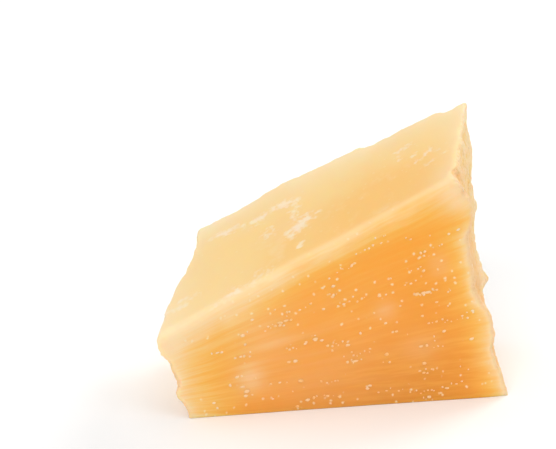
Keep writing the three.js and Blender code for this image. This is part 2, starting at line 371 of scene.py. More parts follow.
@dataclass(frozen=True)
class ChunkForm:
    """The chunk's form in millimetres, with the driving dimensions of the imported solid.

    A point of the surface is named by q, its place on the unit cube: from the low to the high end, from
    the front to the back and from the foot to the top. Of two depths or drifts, the first is at the low
    end. The foot's sharp edges pass into the others over a share of the height. The flakes and the grit
    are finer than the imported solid's relief, and lower in calm patches. The front's cut lines fan out
    from an apex at the height of the foot, beyond the low end.
    """

    foot_length: float = 105
    low_height: float = 27.8
    low_overhang: float = 11.6
    high_height: float = 76.5
    high_setback: float = 20.1
    front_lean: float = radians(3)
    top_depths: Pair = (56.8, 44.4)
    top_drifts: Pair = (20.6, 14.4)
    top_tilt: float = radians(4.2)
    foot_depths: Pair = (47, 41)
    foot_drifts: Pair = (8, 5)
    edge_radius: float = 1.2
    worn_edge_radius: float = 3
    foot_edge_radius: float = 0.4
    foot_edge_share: float = 0.12
    slow_swell: Layer = Layer(1.2, 24)
    large_facets: Layer = Layer(1.1, 10, 10)
    small_facets: Layer = Layer(0.6, 4.6, 20)
    facet_drift: Layer = Layer(1.61, 7, 40)
    flakes: Layer = Layer(0.55, 2.5, 60)
    flake_stretch: float = 1.4
    flake_drift: Layer = Layer(0.6, 5, 50)
    grit: Layer = Layer(0.26, 1.25, 70)
    grit_stretch: float = 1.2
    calm_patch: Pair = (9, 6)
    calm_seed: int = 80
    calm_share: float = 0.1
    low_share: float = 0.55
    high_share: float = 0.6
    back_bulge: float = 3.4
    relief_reach: float = 9
    front_wave: Layer = Layer(0.3, 19)
    top_wave: Layer = Layer(0.5, 17)
    top_crown: float = 0.3
    cut_apex: float = -65.6
    origin: Triple = (50, 29.3, 0)

    @cached_property
    def corners(self) -> Array:
        """Works out the eight corners in millimetres.

        Formula: the front's corners stand on its foot edge and over it, further back by the lean. The
        back's lie behind them by each end's drift and depth, and rise by the slope and the tilt.

        Returns:
            The corners, indexed by low or high end, by front or back, and by foot or top.
        """
        top_ends = (-self.low_overhang, self.foot_length - self.high_setback)
        heights = (self.low_height, self.high_height)
        slope = (self.high_height - self.low_height) / (top_ends[1] - top_ends[0])
        corners = np.zeros((2, 2, 2, 3))
        for end, foot in enumerate((0, self.foot_length)):
            height = heights[end]
            drift = self.top_drifts[end]
            depth = self.top_depths[end]
            rise = drift * slope + depth * np.tan(self.top_tilt)
            corners[end, 0, 0] = (foot, 0, 0)
            corners[end, 0, 1] = (top_ends[end], height * np.tan(self.front_lean), height)
            corners[end, 1, 0] = corners[end, 0, 0] + (self.foot_drifts[end], self.foot_depths[end], 0)
            corners[end, 1, 1] = corners[end, 0, 1] + (drift, depth, rise)
        return corners

    def in_frame(self, points: Array) -> Array:
        """Returns points given in the form's millimetres in the frame's metres."""
        return (points - self.origin) * MM

    def plain(self, q: Array) -> Array:
        """Works out the chunk with flat faces.

        Formula: the eight corners, each weighted by q or 1 less q along each axis.

        Args:
            q: Points of the unit cube.

        Returns:
            The points in millimetres.
        """
        weights = np.stack([1 - q, q], axis=1)
        shares = (weights[:, :, axis] for axis in range(3))
        return np.einsum("ni,nj,nk,ijkx->nx", *shares, self.corners)

    def span(self, q: Array, axis: int) -> tuple[Array, Array]:
        """Finds where the line through each point, along an axis of the cube, starts and ends.

        Args:
            q: Points of the unit cube.
            axis: The axis: 0, 1 or 2.

        Returns:
            The line's ends on the axis's first face and on its second, in millimetres.
        """
        start = q.copy()
        end = q.copy()
        start[:, axis] = 0
        end[:, axis] = 1
        return self.plain(start), self.plain(end)

    def on_front(self, x: Array, z: Array) -> Array:
        """Finds the cube's points that lie at x and z on the front.

        Formula: the share of height follows from the share along the foot, and that again from the lean
        of the ends at this height. A few rounds settle both.

        Args:
            x: Places along the foot edge, in millimetres.
            z: Heights over the foot, in millimetres.

        Returns:
            Points of the cube's front.
        """
        rounds = 12
        along = x / self.foot_length
        for _ in range(rounds):
            up = z / mix(self.low_height, self.high_height, along)
            along = (x + up * mix(self.low_overhang, self.high_setback, along)) / self.foot_length
        return np.stack([along, np.zeros(len(x)), up], axis=1)

    def rounded(self, q: Array) -> Array:
        """Pulls points of the cube's surface in where they are near an edge, so that the edge is round.

        Formula: a point is clamped to a box that is smaller by the radius, and then pushed out of it by
        the radius, in the direction that it was clamped from. The front's top edge is the most worn, and
        the cut foot has the sharpest edge.

        Args:
            q: Points of the cube's surface.

        Returns:
            The rounded points.
        """
        wear = ease((1 - q[:, 1]) * q[:, 2])
        cut = fade(q[:, 2], self.foot_edge_share)
        radius = mix(mix(self.edge_radius, self.worn_edge_radius, wear), self.foot_edge_radius, cut)
        share = np.empty_like(q)
        for axis in range(3):
            start, end = self.span(q, axis)
            share[:, axis] = radius / np.linalg.norm(end - start, axis=1)
        inner = np.clip(q, share, 1 - share)
        out = (q - inner) / share
        length = np.linalg.norm(out, axis=1, keepdims=True)
        return inner + out / np.where(length > 0, length, 1) * share

    def normal(self, side: Side) -> Array:
        """Finds the outward direction of a face.

        Formula: the cross product of its two diagonals, with the sign that points away from the middle
        of the chunk.

        Args:
            side: The face.

        Returns:
            A vector of length 1.
        """
        face = np.take(self.corners, side.end, axis=side.axis)
        normal = np.cross(face[1, 1] - face[0, 0], face[0, 1] - face[1, 0])
        middle = face.mean(axis=(0, 1)) - self.corners.mean(axis=(0, 1, 2))
        return normal / np.linalg.norm(normal) * np.sign(normal @ middle)

    def break_relief(self, side: Side, s: Array, t: Array) -> Array:
        """Works out the coarse relief of a broken face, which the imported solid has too.

        Formula: a slow swell and two sizes of facets, shifted sideways by a drift of their own.

        Args:
            side: The face.
            s: First coordinate along it, in millimetres.
            t: Second coordinate along it, in millimetres.

        Returns:
            The height at each point.
        """
        drift = self.facet_drift.swells(s, t, side.seed)
        return (
            self.slow_swell.swells(s, t, side.seed)
            + self.large_facets.facets(s + drift, t, side.seed)
            + self.small_facets.facets(s, t + drift, side.seed)
        )

    def flake_relief(self, side: Side, s: Array, t: Array) -> Array:
        """Works out the fine relief of a broken face: flakes and grit.

        Formula: two sizes of facets, which are stretched along the face, and lower in calm patches.

        Args:
            side: The face.
            s: First coordinate along it, in millimetres.
            t: Second coordinate along it, in millimetres.

        Returns:
            The height at each point.
        """
        drift = self.flake_drift.swells(s, t, side.seed)
        flakes = self.flakes.facets(s / self.flake_stretch, t + drift, side.seed)
        grit = self.grit.facets(s / self.grit_stretch, t, side.seed)
        patches = swell(s / self.calm_patch[0], t / self.calm_patch[1], side.seed + self.calm_seed)
        return mix(self.calm_share, 1, (1 + patches) / 2) * (flakes + grit)

    def height(self, side: Side, p: Array, q: Array) -> Array:
        """Works out how high a face stands over its plane.

        Formula: its single lumps, plus a slow wave on a smooth face, or its share of the broken relief.
        The top's crown and the back's bulge arch from end to end.

        Args:
            side: The face.
            p: Points of the face's plane.
            q: Their places on the unit cube.

        Returns:
            The height at each point.
        """
        s, t = face_plane(side, p)
        lumps = sum((lump_relief(s, t, lump) for lump in LUMPS[side]), np.zeros(len(p)))
        arch = np.sin(np.pi * q[:, 0])
        if side is Side.FRONT:
            return lumps + self.front_wave.swells(s, t, side.seed)
        if side is Side.TOP:
            return lumps + self.top_wave.swells(s, t, side.seed) + self.top_crown * arch * q[:, 1]
        share = {Side.LOW: self.low_share, Side.HIGH: self.high_share, Side.BACK: 1}[side]
        relief = lumps + share * (self.break_relief(side, s, t) + self.flake_relief(side, s, t))
        return relief + self.back_bulge * arch if side is Side.BACK else relief

    def surface(self, cube: Array) -> "Surface":
        """Works out the surface over points of the unit cube's surface.

        Formula: a point is rounded and stretched to the corners. Each face then pushes it along the line
        through the chunk that ends on that face, by the face's height, and less with its distance from
        the face. The smooth faces so stay smooth, and only their borders move.

        Args:
            cube: Points of the unit cube's surface.

        Returns:
            The points in millimetres, with their distances from each face.
        """
        q = self.rounded(cube)
        plain = self.plain(q)
        points = plain.copy()
        distances = {}
        for side in Side:
            ends = self.span(q, side.axis)
            foot = ends[side.end]
            push = foot - ends[1 - side.end]
            distances[side] = np.linalg.norm(plain - foot, axis=1)
            reached = distances[side] < self.relief_reach
            share = fade(distances[side][reached], self.relief_reach)
            height = self.height(side, foot[reached], q[reached])
            steps = share * height / (push[reached] @ self.normal(side))
            points[reached] += push[reached] * steps[:, None]
        return Surface(points, distances)


def face_plane(side: Side, points: Array) -> tuple[Array, Array]:
    """Returns the two coordinates along a face: the two that its axis leaves."""
    first, second = (axis for axis in range(3) if axis != side.axis)
    return points[:, first], points[:, second]


def lump_relief(s: Array, t: Array, lump: Lump) -> Array:
    """Returns a round lump: highest at its centre, and level at its reach."""
    away = np.hypot(s - lump.s, t - lump.t) / lump.reach
    return lump.height * np.maximum(0, 1 - away * away) ** 2


def line_distance(x: Array, y: Array, line: tuple[Pair, ...]) -> Array:
    """Works out how far places in plan are from a bent line.

    Formula: on each stretch of the line, a place's share of the way is clamped to the stretch, and its
    distance is taken from there. The nearest stretch counts.

    Args:
        x: First coordinate of each place.
        y: Second coordinate of each place.
        line: The points that the line runs through.

    Returns:
        The distance of each place.
    """
    away = np.full(len(x), np.inf)
    for start, end in zip(line[:-1], line[1:]):
        run = np.subtract(end, start)
        reach = np.stack([x - start[0], y - start[1]], axis=1)
        share = np.clip(reach @ run / (run @ run), 0, 1)
        away = np.minimum(away, np.linalg.norm(reach - share[:, None] * run, axis=1))
    return away


@dataclass
class Surface:
    """Points of the chunk's surface and their distances from each face, in millimetres.

    The other fields say how the looks change over it: how wide the border between two faces is, the
    painted light of the pale corner, the blush of the core's colour and painted shade on the broken
    faces, the painted shade that darkens the front from the top down, and the painted light that comes
    through at the high end.
    """

    points: Array
    distances: dict[Side, Array]
    border: float = 1.6
    corner_reach: float = 28
    corner_share: float = 0.42
    glow_reach: float = 20
    glow_loss: float = 0.3
    depth_start: float = 14
    depth_range: float = 46
    light_reach: float = 16
    light_share: float = 0.85

    def on(self, *sides: Side) -> Array:
        """Returns how much each point belongs to any of the given faces, from 0 to 1."""
        return np.max([fade(self.distances[side], self.border) for side in sides], axis=0)

    def near(self, side: Side, reach: float) -> Array:
        """Returns e to the minus distance from a face over a reach."""
        return np.exp(-self.distances[side] / reach)

    def pale(self) -> Array:
        """Works out how pale painted light makes each point, where the thin edges and the corner let light
        through.

        Formula: 1 less the product of what each pale edge, and the pale corner, leaves deep. The corner
        is where the low end, the front and the top meet, and it makes pale its share times e to the
        minus square of the distance from it over its reach.

        Returns:
            The paleness, from 0 to 1.
        """
        deep = [1 - edge.paleness(self.distances) for edge in LIT_EDGES]
        squares = ((self.distances[side] / self.corner_reach) ** 2 for side in CORNER_SIDES)
        return 1 - np.prod(deep, axis=0) * (1 - self.corner_share * np.exp(-sum(squares)))

    def glow(self) -> Array:
        """Returns how much blush shows: the core's own colour and painted shade, most at the front, and
        less near the top.
        """
        kept = 1 - self.glow_loss * self.near(Side.TOP, self.glow_reach)
        return self.near(Side.FRONT, self.glow_reach) * kept

    def depth(self) -> Array:
        """Returns the painted shade of each point: it grows from the top down, and painted light that
        comes through lessens it at the high end.
        """
        deep = np.clip((self.distances[Side.TOP] - self.depth_start) / self.depth_range, 0, 1)
        return deep * (1 - self.light_share * self.near(Side.HIGH, self.light_reach))


def crests(points: Array, faces: Array, rounds: int) -> Array:
    """Returns how far each point stands out of the smoothed surface, or lies below it if negative.

    Formula: the surface is smoothed by a number of rounds in which each point moves to the mean of its
    neighbours. The way back from the smoothed point to the point is measured along the outward normal.

    Args:
        points: The points of a closed mesh.
        faces: The four corners of each of its faces, anticlockwise from outside.
        rounds: How many times it is smoothed.

    Returns:
        The height of each point over the smoothed surface.
    """
    start = faces.ravel()
    end = np.roll(faces, -1, axis=1).ravel()
    count = np.bincount(end)
    smooth = points
    for _ in range(rounds):
        sums = [np.bincount(end, smooth[start, axis]) for axis in range(3)]
        smooth = np.stack(sums, axis=1) / count[:, None]
    first, second, third, fourth = (points[faces[:, corner]] for corner in range(4))
    area = np.repeat(np.cross(third - first, fourth - second), 4, axis=0)
    normals = np.stack([np.bincount(start, area[:, axis]) for axis in range(3)], axis=1)
    normals /= np.linalg.norm(normals, axis=1, keepdims=True)
    return ((points - smooth) * normals).sum(axis=1)


@dataclass(frozen=True)
class Grid:
    """Cells of a closed cube's grid along X, Y and Z, and how much closer they lie near its edges."""

    cells: tuple[int, int, int] = (184, 92, 118)
    crowding: float = 0.45

    def build(self) -> tuple[Array, Array]:
        """Builds the closed grid over the unit cube's six faces.

        Returns:
            The points, and the four corners of each cell, anticlockwise from outside.
        """
        counts = np.array(self.cells) + 1
        quads = []
        for axis in range(3):
            first, second = [other for other in range(3) if other != axis]
            u, v = np.meshgrid(np.arange(counts[first]), np.arange(counts[second]), indexing="ij")
            for end in (0, 1):
                place = np.zeros((*u.shape, 3), dtype=np.int64)
                place[..., first] = u
                place[..., second] = v
                place[..., axis] = end * self.cells[axis]
                key = (place[..., 0] * counts[1] + place[..., 1]) * counts[2] + place[..., 2]
                cells = np.stack([key[:-1, :-1], key[1:, :-1], key[1:, 1:], key[:-1, 1:]], axis=-1)
                outward = (axis != 1) == (end == 1)
                quads.append(cells.reshape(-1, 4)[:, :: 1 if outward else -1])
        keys, faces = np.unique(np.concatenate(quads), return_inverse=True)
        rest, k = np.divmod(keys, counts[2])
        i, j = np.divmod(rest, counts[1])
        share = np.stack([i, j, k], axis=1) / self.cells
        crowded = share - self.crowding * np.sin(2 * np.pi * share) / (2 * np.pi)
        return crowded, faces.reshape(-1, 4)


def make_piece(name: str, points: Array, faces: Array, readings: dict[str, Array]) -> bpy.types.Object:
    """Makes a smooth-shaded mesh object at the origin.

    Args:
        name: Name of the piece.
        points: Its points, in the frame's metres.
        faces: Point numbers of each face, all faces with the same number of corners.
        readings: What its material reads: one number for each point, by attribute name.

    Returns:
        The new object.
    """
    mesh = bpy.data.meshes.new(name)
    count, corners = faces.shape
    mesh.vertices.add(len(points))
    mesh.vertices.foreach_set("co", points.astype(np.float32).ravel())
    mesh.loops.add(faces.size)
    mesh.loops.foreach_set("vertex_index", faces.astype(np.int32).ravel())
    mesh.polygons.add(count)
    mesh.polygons.foreach_set("loop_start", np.arange(count, dtype=np.int32) * corners)
    mesh.update(calc_edges=True)
    mesh.validate()
    mesh.shade_smooth()
    for reading, values in readings.items():
        attribute = mesh.attributes.new(reading, "FLOAT", "POINT")
        attribute.data.foreach_set("value", values.astype(np.float32))
    piece = bpy.data.objects.new(name, mesh)
    bpy.context.scene.collection.objects.link(piece)
    return piece


@dataclass(frozen=True)
class Noise:
    """Smooth noise: its swells to a metre, how many finer ones it adds, and how strong they are."""

    scale: float
    detail: float = 3
    roughness: float = 0.5


@dataclass(frozen=True)
class Shake:
    """Noise that moves a place: its swells to a metre, and how far it moves the place, in metres."""

    scale: float
    reach: float


@dataclass(frozen=True)
class Ramp:
    """A soft passage from a first to a last number, while a value grows from low to high."""

    low: float
    high: float
    first: float = 0
    last: float = 1


class Graph:
    """The node tree of one material, with short calls that add its nodes and link them."""

    def __init__(self, name: str) -> None:
        """Makes an empty material.

        Args:
            name: The material's name.
        """
        self.material = bpy.data.materials.new(name)
        self.material.use_nodes = True
        self.tree = self.material.node_tree
        self.tree.nodes.clear()

    def add(self, kind: str, inputs: Inputs, **settings: object) -> bpy.types.Node:
        """Adds a node.

        Args:
            kind: The node's type name.
            inputs: For each input's name or number, a socket to link or a value to set.
            **settings: The node's own settings.

        Returns:
            The new node.
        """
        node = self.tree.nodes.new(kind)
        for name, value in settings.items():
            setattr(node, name, value)
        for key, value in inputs.items():
            if isinstance(value, bpy.types.NodeSocket):
                self.tree.links.new(value, node.inputs[key])
            else:
                node.inputs[key].default_value = value
        return node

    def attribute(self, name: str) -> Socket:
        """Reads a piece's attribute."""
        return self.add("ShaderNodeAttribute", {}, attribute_name=name).outputs["Fac"]

    def place(self) -> Socket:
        """Reads the place on the piece, in metres."""
        return self.add("ShaderNodeTexCoord", {}).outputs["Object"]

    def math(self, operation: str, first: Socket | float, second: Socket | float) -> Socket:
        """Adds an operation on two numbers."""
        return self.add("ShaderNodeMath", {0: first, 1: second}, operation=operation).outputs[0]

    def plus(self, first: Socket, second: Socket) -> Socket:
        """Adds a sum of two numbers."""
        return self.math("ADD", first, second)

    def less(self, first: Socket | float, second: Socket | float) -> Socket:
        """Adds a difference of two numbers."""
        return self.math("SUBTRACT", first, second)

    def times(self, first: Socket, second: Socket | float) -> Socket:
        """Adds a product of two numbers."""
        return self.math("MULTIPLY", first, second)

    def vectors(self, operation: str, inputs: Inputs) -> Socket:
        """Adds an operation on vectors that gives a vector."""
        return self.add("ShaderNodeVectorMath", inputs, operation=operation).outputs[0]

    def along(self, ramp: Ramp, value: Socket) -> Socket:
        """Passes softly from one number to another as a value grows.

        Args:
            ramp: The passage. Its first number holds below it, and its last number above it.
            value: The value.

        Returns:
            The number for the value.
        """
        inputs = {"Value": value, "From Min": ramp.low, "From Max": ramp.high}
        inputs |= {"To Min": ramp.first, "To Max": ramp.last}
        node = self.add("ShaderNodeMapRange", inputs, interpolation_type="SMOOTHSTEP")
        return node.outputs["Result"]

    def blend(self, share: Socket, low: Socket | Colour, high: Socket | Colour) -> Socket:
        """Blends two colours, by the numbers that the node's colour sockets have."""
        return self.add("ShaderNodeMix", {0: share, 6: low, 7: high}, data_type="RGBA").outputs[2]

    def noise(self, vector: Socket, noise: Noise) -> Socket:
        """Adds smooth noise from about 0 to 1."""
        inputs = {"Scale": noise.scale, "Detail": noise.detail, "Roughness": noise.roughness}
        return self.add("ShaderNodeTexNoise", {"Vector": vector, **inputs}).outputs[0]

    def shaken(self, vector: Socket, shake: Shake) -> Socket:
        """Shakes a place by smooth noise, so that no line of a pattern runs straight.

        Args:
            vector: The place on the piece.
            shake: The noise, and how far it moves the place.

        Returns:
            The shaken place.
        """
        noise = self.add("ShaderNodeTexNoise", {"Vector": vector, "Scale": shake.scale}).outputs["Color"]
        moved = self.vectors("SCALE", {0: noise, "Scale": shake.reach})
        return self.vectors("ADD", {0: vector, 1: moved})

    def cells(self, vector: Socket, scale: float) -> tuple[Socket, Socket]:
        """Adds an uneven net of cells: the distance from the nearest centre, and each cell's colour."""
        node = self.add("ShaderNodeTexVoronoi", {"Vector": vector, "Scale": scale})
        return node.outputs["Distance"], node.outputs["Color"]

    def fan(self, vector: Socket, apex: Array, stretch: Triple) -> Socket:
        """Turns a place into distance from an upright fan's apex, angle about it, and depth.

        Args:
            vector: The place on the piece.
            apex: The point that the fan's lines run from.
            stretch: How many features there are to a metre of distance, a radian and a metre of depth.

        Returns:
            The three coordinates, each times its stretch.
        """
        moved = self.vectors("SUBTRACT", {0: vector, 1: apex})
        x, y, z = self.add("ShaderNodeSeparateXYZ", {0: moved}).outputs
        flat = self.add("ShaderNodeCombineXYZ", {0: x, 2: z}).outputs[0]
        distance = self.add("ShaderNodeVectorMath", {0: flat}, operation="LENGTH").outputs["Value"]
        angle = self.math("ARCTAN2", z, x)
        spread = self.add("ShaderNodeCombineXYZ", {0: distance, 1: angle, 2: y}).outputs[0]
        return self.vectors("MULTIPLY", {0: spread, 1: stretch})

    def turned(self, vector: Socket, turn: Triple, stretch: Triple) -> Socket:
        """Turns a place and then stretches it, for a pattern that runs aslant.

        Args:
            vector: The place on the piece.
            turn: The three angles, in radians.
            stretch: How many features there are to a metre, along each axis.

        Returns:
            The turned and stretched place.
        """
        inputs = {"Vector": vector, "Rotation": turn}
        node = self.add("ShaderNodeVectorRotate", inputs, rotation_type="EULER_XYZ")
        return self.vectors("MULTIPLY", {0: node.outputs[0], 1: stretch})

    def bump(self, height: Socket, depth: float, normal: Socket | None = None) -> Socket:
        """Turns a height into a bumped normal.

        Args:
            height: The height.
            depth: How deep a height of 1 is, in metres.
            normal: An earlier bumped normal that this one lies over.

        Returns:
            The normal.
        """
        inputs = {"Height": height, "Distance": depth, "Strength": 1.0}
        if normal:
            inputs["Normal"] = normal
        return self.add("ShaderNodeBump", inputs).outputs[0]

    def finish(self, inputs: Inputs) -> bpy.types.Material:
        """Adds the surface shader and the output.

        Args:
            inputs: For each of the shader's inputs, a socket to link or a value to set.

        Returns:
            The finished material.
        """
        shader = self.add("ShaderNodeBsdfPrincipled", inputs)
        self.add("ShaderNodeOutputMaterial", {"Surface": shader.outputs[0]})
        return self.material


@dataclass(frozen=True)
class Patterns:
    """The patterns that several layers of the skin share, with stretches and scales to a metre.

    The bands are broad and the lines fine, and both fan out along the front's cut lines.
    """

    pale_patches: Noise = Noise(60, 2)
    pale_gain: Ramp = Ramp(0.35, 0.65, 0.9, 1.1)
    cut_shake: Shake = Shake(40, 0.002)
    band_stretch: Triple = (16, 34, 60)
    bands: Noise = Noise(1, 2)
    line_stretch: Triple = (70, 120, 200)
    lines: Noise = Noise(1, 3, 0.6)
    grain_shake: Shake = Shake(500, 0.0012)
    grain_scale: float = 800


class CheeseGraph(Graph):
    """The skin's node tree, with the readings and patterns that several of its layers share."""

    def __init__(self, patterns: Patterns, apex: Array) -> None:
        """Adds the shared readings and patterns.

        Args:
            patterns: The sizes of the patterns.
            apex: The point that the cut lines fan out from, in the frame's metres.
        """
        super().__init__("aged_cheese")
        self.at = self.place()
        # Painted light that the thin edges let through, made patchy.
        patchy = self.along(patterns.pale_gain, self.noise(self.at, patterns.pale_patches))
        self.pale = self.times(self.attribute("pale"), patchy)
        self.broken = self.attribute("broken")
        self.top = self.attribute("top")
        self.crest = self.attribute("crest")
        self.torn = self.attribute("torn")
        uneven = self.shaken(self.at, patterns.cut_shake)
        self.bands = self.noise(self.fan(uneven, apex, patterns.band_stretch), patterns.bands)
        self.lines = self.noise(self.fan(uneven, apex, patterns.line_stretch), patterns.lines)
        self.grains, _ = self.cells(self.shaken(self.at, patterns.grain_shake), patterns.grain_scale)


@dataclass(frozen=True)
class FrontFinish:
    """The front: deep in the middle and darker towards the bottom by painted shade, streaky along the cut
    lines, and pale at its margins by painted light that the thin edges let through.

    Streaks over the middle value spread the pale margin, and those under it narrow it.
    """

    # high is the front's colour near the top; low is that colour darkened by painted shade towards the
    # bottom.
    high: Colour = srgb(255, 168, 54)
    low: Colour = srgb(225, 146, 46)
    mid: Colour = srgb(255, 191, 86)
    pale: Colour = srgb(255, 223, 178)
    patches: Noise = Noise(45, 2)
    patch_share: Ramp = Ramp(0.38, 0.62, 0.3, 1)
    streak_share: Ramp = Ramp(0.4, 0.68, 0, 0.22)
    band_share: float = 0.5
    line_share: float = 0.5
    streak_middle: float = 0.48
    spread: float = 0.8
    spread_share: Ramp = Ramp(0, 0.4, 0.4, 1)
    mid_share: Ramp = Ramp(0.04, 0.55)
    pale_share: Ramp = Ramp(0.32, 1)

    def colour(self, graph: CheeseGraph) -> Socket:
        """Colours the front.

        Args:
            graph: The skin's node tree.

        Returns:
            The colour.
        """
        # Painted shade: the core darkens from the top down, less at the high end where painted light comes
        # through.
        core = graph.blend(graph.attribute("depth"), self.high, self.low)
        patchy = graph.along(self.patch_share, graph.noise(graph.at, self.patches))
        streaky = graph.times(graph.along(self.streak_share, graph.lines), patchy)
        core = graph.blend(streaky, core, self.mid)
        bands = graph.times(graph.bands, self.band_share)
        streaks = graph.plus(bands, graph.times(graph.lines, self.line_share))
        # The margin: painted light that the thin edges let through, spread by the streaks.
        spread = graph.times(graph.less(streaks, self.streak_middle), self.spread)
        spread = graph.times(spread, graph.along(self.spread_share, graph.pale))
        margin = graph.plus(graph.pale, spread)
        core = graph.blend(graph.along(self.mid_share, margin), core, self.mid)
        return graph.blend(graph.along(self.pale_share, margin), core, self.pale)


@dataclass(frozen=True)
class TopFinish:
    """The top: paler than the front, partly by its own drier tone and partly by painted light from above;
    light and deeper clouds, warm where the skin says so, under a cream mist.
    """

    deep: Colour = srgb(251, 196, 118)
    light: Colour = srgb(251, 209, 138)
    clouds: Noise = Noise(40)
    deep_share: Ramp = Ramp(0.4, 1.1)
    mist: Noise = Noise(75, 4, 0.6)
    mist_share: Ramp = Ramp(0.5, 0.75, 0, 0.3)

    def colour(self, graph: CheeseGraph) -> Socket:
        """Colours the top.

        Args:
            graph: The skin's node tree.

        Returns:
            The colour.
        """
        clouds = graph.plus(graph.noise(graph.at, self.clouds), graph.attribute("warm"))
        top = graph.blend(graph.along(self.deep_share, clouds), self.light, self.deep)
        mist = graph.along(self.mist_share, graph.noise(graph.at, self.mist))
        # Cream where the painted edge light or the mist is strongest.
        return graph.blend(graph.math("MAXIMUM", graph.pale, mist), top, CREAM)


@dataclass(frozen=True)
class SpeckFinish:
    """Fine cream specks on the smooth faces, one in some of the cells of a net.

    A cell has one where its random number is over the rarity. It is clearest at the cell's centre, and
    fainter on the top than on the front.
    """

    shake: Shake = Shake(900, 0.0008)
    scale: float = 420
    rarity: float = 0.58
    top_share: Ramp = Ramp(0, 1, 1, 0.25)
    share: Ramp = Ramp(0.06, 0.28, 0.75, 0)

    def over(self, graph: CheeseGraph, colour: Socket) -> Socket:
        """Lays the specks over a colour.

        Args:
            graph: The skin's node tree.
            colour: The colour under them.

        Returns:
            The colour with the specks.
        """
        away, chance = graph.cells(graph.shaken(graph.at, self.shake), self.scale)
        picked = graph.math("GREATER_THAN", chance, self.rarity)
        picked = graph.times(picked, graph.along(self.top_share, graph.top))
        specks = graph.times(graph.along(self.share, away), picked)
        return graph.blend(specks, colour, CREAM)


@dataclass(frozen=True)
class CragFinish:
    """The broken faces: hollows deepened by painted shade, crests lightened by painted light, flecks, and
    a blush near the front that is the core's colour and painted shade.

    Crests, noise and grains add up to the height that the colour follows: the noise is random tone, while
    the crests and grains paint shade in hollows and between grains, and light on crests. Short flecks run
    aslant.
    """

    hollow: Colour = srgb(252, 200, 110)
    crag: Colour = srgb(254, 215, 154)
    fleck: Colour = srgb(255, 227, 194)
    blush: Colour = srgb(242, 178, 110)
    noise: Noise = Noise(330, 4, 0.6)
    crest_gain: float = 0.25
    grain_middle: float = 0.4
    grain_gain: float = 0.25
    crag_share: Ramp = Ramp(0.1, 0.55)
    fleck_turn: Triple = (0.4, 0.6, 0.3)
    fleck_stretch: Triple = (240, 640, 640)
    fleck_noise: Noise = Noise(1, 4, 0.65)
    fleck_crest_gain: float = 0.1
    fleck_share: Ramp = Ramp(0.5, 0.76, 0, 0.9)
    blush_share: float = 0.85
    pale_share: float = 0.5

    def colour(self, graph: CheeseGraph) -> Socket:
        """Colours the broken faces.

        Args:
            graph: The skin's node tree.

        Returns:
            The colour.
        """
        # Painted shade in hollows and between grains, painted light on crests, over random tone.
        height = graph.plus(graph.times(graph.crest, self.crest_gain), graph.noise(graph.at, self.noise))
        grains = graph.times(graph.less(self.grain_middle, graph.grains), self.grain_gain)
        light = graph.along(self.crag_share, graph.plus(height, grains))
        crags = graph.blend(light, self.hollow, self.crag)
        aslant = graph.turned(graph.at, self.fleck_turn, self.fleck_stretch)
        # Crests raise the flecks a little: painted light.
        raised = graph.times(graph.crest, self.fleck_crest_gain)
        flecks = graph.plus(raised, graph.noise(aslant, self.fleck_noise))
        crags = graph.blend(graph.along(self.fleck_share, flecks), crags, self.fleck)
        # Blush near the front: the core's own colour, deepened by painted shade.
        crags = graph.blend(graph.times(graph.attribute("glow"), self.blush_share), crags, self.blush)
        # Painted light that the thin edges let through.
        return graph.blend(graph.times(graph.pale, self.pale_share), crags, CREAM)


@dataclass(frozen=True)
class ScarFinish:
    """The whitish torn marks of the top, whose borders a noise makes ragged."""

    scar: Colour = srgb(255, 229, 201)
    noise: Noise = Noise(500, 3, 0.6)
    noise_middle: float = 0.52
    noise_gain: float = 3
    ragged_share: Ramp = Ramp(0, 0.3)
    share: Ramp = Ramp(0.1, 1.3, 0, 0.85)

    def over(self, graph: CheeseGraph, colour: Socket) -> Socket:
        """Lays the marks over a colour.

        Args:
            graph: The skin's node tree.
            colour: The colour under them.

        Returns:
            The colour with the marks.
        """
        noise = graph.less(graph.noise(graph.at, self.noise), self.noise_middle)
        noise = graph.times(noise, self.noise_gain)
        ragged = graph.times(noise, graph.along(self.ragged_share, graph.torn))
        marks = graph.along(self.share, graph.plus(graph.torn, ragged))
        return graph.blend(marks, colour, self.scar)


@dataclass(frozen=True)
class SkinBump:
    """Faint cut lines all over, and grit with rounded grains on the broken faces, in metres."""

    line_depth: float = 0.00004
    grit: Noise = Noise(900, 4, 0.65)
    grit_share: float = 0.5
    grit_depth: Ramp = Ramp(0, 1, 0, 0.00045)

    def normal(self, graph: CheeseGraph) -> Socket:
        """Bumps the skin.

        Args:
            graph: The skin's node tree.

        Returns:
            The normal.
        """
        noise = graph.times(graph.noise(graph.at, self.grit), self.grit_share)
        grit = graph.times(graph.less(noise, graph.grains), graph.along(self.grit_depth, graph.broken))
        return graph.bump(grit, 1.0, graph.bump(graph.lines, self.line_depth))


